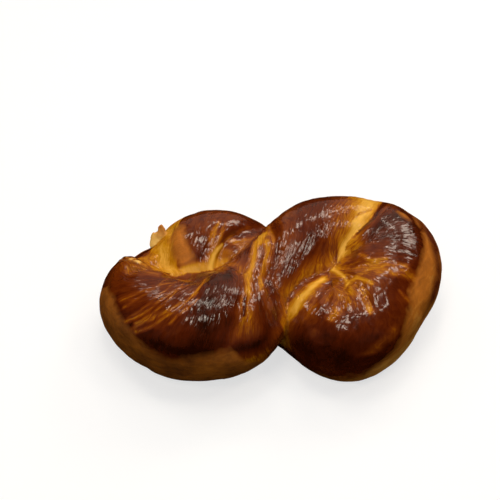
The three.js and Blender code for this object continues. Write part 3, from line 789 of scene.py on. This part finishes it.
class Wire:
    """A socket of a node tree. Python's operators on it add Math nodes."""

    def __init__(self, tree, socket=None):
        self.tree, self.socket = tree, socket

    def node(self, kind, settings=None, inputs=None, output=0):
        """A new node's output, with the node's settings made and its inputs set or linked."""
        made = self.tree.nodes.new(kind)
        for name, value in (settings or {}).items():
            setattr(made, name, value)
        for name, value in (inputs or {}).items():
            if isinstance(value, Wire):
                self.tree.links.new(value.socket, made.inputs[name])
            else:
                made.inputs[name].default_value = value
        return Wire(self.tree, made.outputs[output])

    def math(self, operation, *values):
        return self.node("ShaderNodeMath", {"operation": operation}, dict(enumerate(values)))

    def __add__(self, other):
        return self.math("ADD", self, other)

    def __sub__(self, other):
        return self.math("SUBTRACT", self, other)

    def __rsub__(self, other):
        return self.math("SUBTRACT", other, self)

    def __mul__(self, other):
        return self.math("MULTIPLY", self, other)

    __radd__ = __add__

    def clamped(self):
        return self.node("ShaderNodeClamp", None, {"Value": self})

    def stretched(self, *sizes):
        return self.node("ShaderNodeVectorMath", {"operation": "MULTIPLY"}, {0: self, 1: sizes})

    def noise(self, scale, detail, rough):
        return self.node("ShaderNodeTexNoise", None,
                         {"Vector": self, "Scale": scale, "Detail": detail, "Roughness": rough})

    def swing(self, share):
        """This noise about its middle, times a share."""
        return (self - HALF) * share

    def mixed(self, other, share):
        """This colour, changed to another by a share."""
        other = other if isinstance(other, Wire) else (*other, 1.0)
        return self.node("ShaderNodeMix", {"data_type": "RGBA"},
                         {MIX_SHARE: share, MIX_FROM: self, MIX_TO: other}, MIX_RESULT)

    def coloured(self, look, stops):
        """This tone as a colour, by stops of (tone, name of a colour of the look)."""
        ramp = self.node("ShaderNodeValToRGB", None, {"Fac": self})
        elements = ramp.socket.node.color_ramp.elements
        while len(elements) < len(stops):
            elements.new(1.0)
        for element, (tone, name) in zip(elements, stops):
            element.position = tone
            element.color = (*getattr(look, name), 1.0)
        return ramp


def crust_material(look):
    """Bare crust, and glazed crust where the egg wash lies."""
    material = bpy.data.materials.new("crust")
    material.use_nodes = True
    tree = material.node_tree
    tree.nodes.remove(tree.nodes["Principled BSDF"])
    start = Wire(tree)

    def painted(name, output="Fac"):
        return start.node("ShaderNodeAttribute", {"attribute_name": name}, None, output)

    gold, streak, wash, burn = (painted(name) for name in ("gold", "streak", "wash", "burn"))
    bare, sole, crumb, toasted = (painted(name) for name in ("bare", "sole", "crumb", "toasted"))
    place = start.node("ShaderNodeTexCoord", None, None, "Object")
    stray = start.node("ShaderNodeTexNoise", None, {
        "Vector": place, "Scale": STREAK_STRAY_WAVES, "Detail": STREAK_STRAY_DETAIL}, "Color")
    grain = start.node("ShaderNodeVectorMath", {"operation": "MULTIPLY_ADD"}, {
        0: stray, 1: STREAK_STRAY, 2: painted("grain", "Vector")})

    def streaks(waves, detail, rough):
        return grain.stretched(*waves).noise(1.0, detail, rough)

    broad, fine, hair, brushed, pull = (streaks(*kind) for kind in (BROAD, FINE, HAIR, BRUSHED, PULL))
    blotch, speck, pebble = (place.noise(*kind) for kind in (BLOTCH, SPECK, PEBBLE))

    # Washed colour: gold pulled about by the streaks, most of all where it fades
    spread = gold * (1.0 - gold)
    contrast = (LEAST_CONTRAST + spread * spread * FADE_CONTRAST) * streak
    streaked = broad.swing(WASHED_BROAD) + fine.swing(WASHED_FINE) + hair.swing(WASHED_HAIR)
    tone = gold + contrast * streaked + blotch.swing(WASHED_BLOTCH)
    washed = tone.coloured(look, WASHED_COLOURS)
    bare_tone = bare + blotch.swing(BARE_BLOTCH) + brushed.swing(BARE_BRUSHED) + speck.swing(BARE_SPECK)
    unwashed = bare_tone.coloured(look, BARE_COLOURS)
    torn = (toasted + pebble.swing(TORN_PEBBLE)).coloured(look, TORN_COLOURS)

    edge = wash + blotch.swing(EDGE_BLOTCH) + pebble.swing(EDGE_PEBBLE)
    glazed = (edge * EDGE_SHARPNESS + HALF).clamped()
    base = unwashed.mixed(washed, glazed)
    base = base.mixed(look.dark, (burn * (blotch * BURN_BLOTCH + speck - HALF)).clamped())
    base = base.mixed(look.sole, sole)
    base = base.mixed(torn, crumb)
    dull = ((gold - DULL_FROM) * DULL_SLOPE).clamped() * DULL_MOST
    gloss = glazed * (1.0 - sole) * (1.0 - crumb) * (1.0 - dull)

    def shader(rough, shine, bump, height):
        strength, depth = bump
        normal = start.node("ShaderNodeBump", None, {
            "Strength": strength, "Distance": depth * MM, "Height": height})
        return start.node("ShaderNodeBsdfPrincipled", None, {
            "Base Color": base, "Roughness": rough, "Specular IOR Level": shine, "Normal": normal})

    wash_height = pull + pebble * WASH_BUMP_PEBBLE + speck * WASH_BUMP_SPECK
    bare_shader = shader(look.crust_rough, CRUST_SHINE, CRUST_BUMP, speck + pebble)
    wash_shader = shader(look.wash_rough, WASH_SHINE, WASH_BUMP, wash_height)
    whole = start.node("ShaderNodeMixShader", None, {0: gloss, 1: bare_shader, 2: wash_shader})
    tree.links.new(whole.socket, tree.nodes["Material Output"].inputs["Surface"])
    return material


class ROLL_OT_bake(bpy.types.Operator):
    """Makes the roll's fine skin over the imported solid, and its crust"""
    bl_idname = "roll.bake"
    bl_label = "Bake the roll"

    def execute(self, context):
        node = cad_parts["roll"]
        shape = context.scene.roll_shape
        blank = bpy.data.objects.new("blank", node.data.copy())
        context.scene.collection.objects.link(blank)
        work = bmesh.new()
        work.from_mesh(blank.data)
        bmesh.ops.remove_doubles(work, verts=work.verts, dist=WELD * MM)
        work.to_mesh(blank.data)
        work.free()
        skin = blank.modifiers.new("skin", "REMESH")
        skin.mode = "VOXEL"
        skin.voxel_size = shape.skin
        context.view_layer.update()
        mesh = bpy.data.meshes.new_from_object(blank.evaluated_get(context.evaluated_depsgraph_get()))
        bpy.data.objects.remove(blank)

        for name, values in dough_points(mesh, shape).items():
            if values.ndim == 2:
                mesh.attributes.new(name, "FLOAT_VECTOR", "POINT").data.foreach_set("vector", values.ravel())
            else:
                mesh.attributes.new(name, "FLOAT", "POINT").data.foreach_set("value", values)
        mesh.shade_smooth()
        mesh.materials.clear()
        mesh.materials.append(crust_material(context.scene.crust_look))
        roll = bpy.data.objects.new("baked_roll", mesh)
        context.scene.collection.objects.link(roll)
        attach(roll, "root")
        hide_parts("roll")
        return {"FINISHED"}


# Stage


class ROLL_OT_stage(bpy.types.Operator):
    """Lays the floor, hangs the lamps and sets up the camera"""
    bl_idname = "roll.stage"
    bl_label = "Set the stage"

    def execute(self, context):
        setup = context.scene.stage_setup
        self.lay_floor(context, setup)
        for name, (place, side) in PLAIN_LAMPS.items():
            self.hang_lamp(context, name, place, side, getattr(setup, name), WHITE, False)
        for n, place in enumerate(FILLS):
            self.hang_lamp(context, f"fill_{n}", place, FILL_SIDE, setup.fill, WHITE, False)
        for name, (place, side) in MIRRORED_LAMPS.items():
            self.hang_lamp(context, name, place, side, getattr(setup, name), setup.warm, True)
        for n, place in enumerate(GLINTS):
            self.hang_lamp(context, f"glint_{n}", place, setup.glint_side, setup.glint, setup.warm, True)
        self.hang_sky(context, setup)
        context.scene.view_settings.view_transform = "Standard"

        lens = bpy.data.cameras.new("camera")
        lens.lens = setup.lens
        lens.clip_start = CLIP_START
        camera = bpy.data.objects.new("camera", lens)
        context.scene.collection.objects.link(camera)
        self.face(camera, setup.eye, setup.aim)
        context.scene.camera = camera
        return {"FINISHED"}

    @staticmethod
    def face(obj, eye, aim):
        """Puts a camera or lamp in its place, turned to what it aims at."""
        obj.location = eye
        obj.rotation_euler = (Vector(aim) - Vector(eye)).to_track_quat("-Z", "Y").to_euler()

    @staticmethod
    def hang_sky(context, setup):
        """A white sky for the camera alone, which lights nothing and isn't mirrored."""
        world = bpy.data.worlds.new("sky")
        context.scene.world = world
        world.use_nodes = True
        background = world.node_tree.nodes["Background"]
        background.inputs["Color"].default_value = (*WHITE, 1.0)
        background.inputs["Strength"].default_value = setup.backdrop
        world.cycles_visibility.glossy = False
        world.cycles_visibility.diffuse = False

    @staticmethod
    def lay_floor(context, setup):
        """A square floor as bright as the sky, so that no horizon shows."""
        half = setup.floor_side / 2
        corners = [(-half, -half, 0), (half, -half, 0), (half, half, 0), (-half, half, 0)]
        mesh = bpy.data.meshes.new("floor")
        mesh.from_pydata(corners, [], [(0, 1, 2, 3)])
        material = bpy.data.materials.new("floor")
        material.use_nodes = True
        shader = material.node_tree.nodes["Principled BSDF"]
        shader.inputs["Base Color"].default_value = (*setup.floor, 1.0)
        shader.inputs["Roughness"].default_value = FLOOR_ROUGH
        shader.inputs["Specular IOR Level"].default_value = 0.0
        shader.inputs["Emission Color"].default_value = (*WHITE, 1.0)
        shader.inputs["Emission Strength"].default_value = setup.backdrop
        mesh.materials.append(material)
        floor = bpy.data.objects.new("floor", mesh)
        floor.visible_glossy = False
        floor.visible_diffuse = False
        context.scene.collection.objects.link(floor)

    def hang_lamp(self, context, name, place, side, power, tint, mirrored):
        """A square lamp that shines on the roll, and shows in its glaze if it is mirrored."""
        light = bpy.data.lights.new(name, "AREA")
        light.shape = "SQUARE"
        light.size = side
        light.energy = power
        light.color = tint
        lamp = bpy.data.objects.new(name, light)
        lamp.visible_glossy = mirrored
        context.scene.collection.objects.link(lamp)
        self.face(lamp, place, LAMP_AIM)


class ROLL_PT_panel(bpy.types.Panel):
    """Sizes, colours and steps of the bread roll"""
    bl_idname = "ROLL_PT_panel"
    bl_label = "Bread roll"
    bl_space_type = "VIEW_3D"
    bl_region_type = "UI"
    bl_category = "Bread roll"

    def draw(self, context):
        for group in GROUPS:
            box = self.layout.box()
            settings = getattr(context.scene, group)
            for name in settings.__annotations__:
                box.prop(settings, name)
        for operator in STEPS:
            self.layout.operator(operator.bl_idname)


GROUPS = {"roll_shape": RollShape, "crust_look": CrustLook, "stage_setup": StageSetup}
STEPS = (ROLL_OT_bake, ROLL_OT_stage)
CLASSES = (*GROUPS.values(), *STEPS, ROLL_PT_panel)


def register():
    for cls in CLASSES:
        bpy.utils.register_class(cls)
    for name, group in GROUPS.items():
        setattr(bpy.types.Scene, name, PointerProperty(type=group))


def unregister():
    for name in GROUPS:
        delattr(bpy.types.Scene, name)
    for cls in reversed(CLASSES):
        bpy.utils.unregister_class(cls)


def main():
    register()
    bpy.ops.roll.bake()
    bpy.ops.roll.stage()


if __name__ == "__main__":
    main()
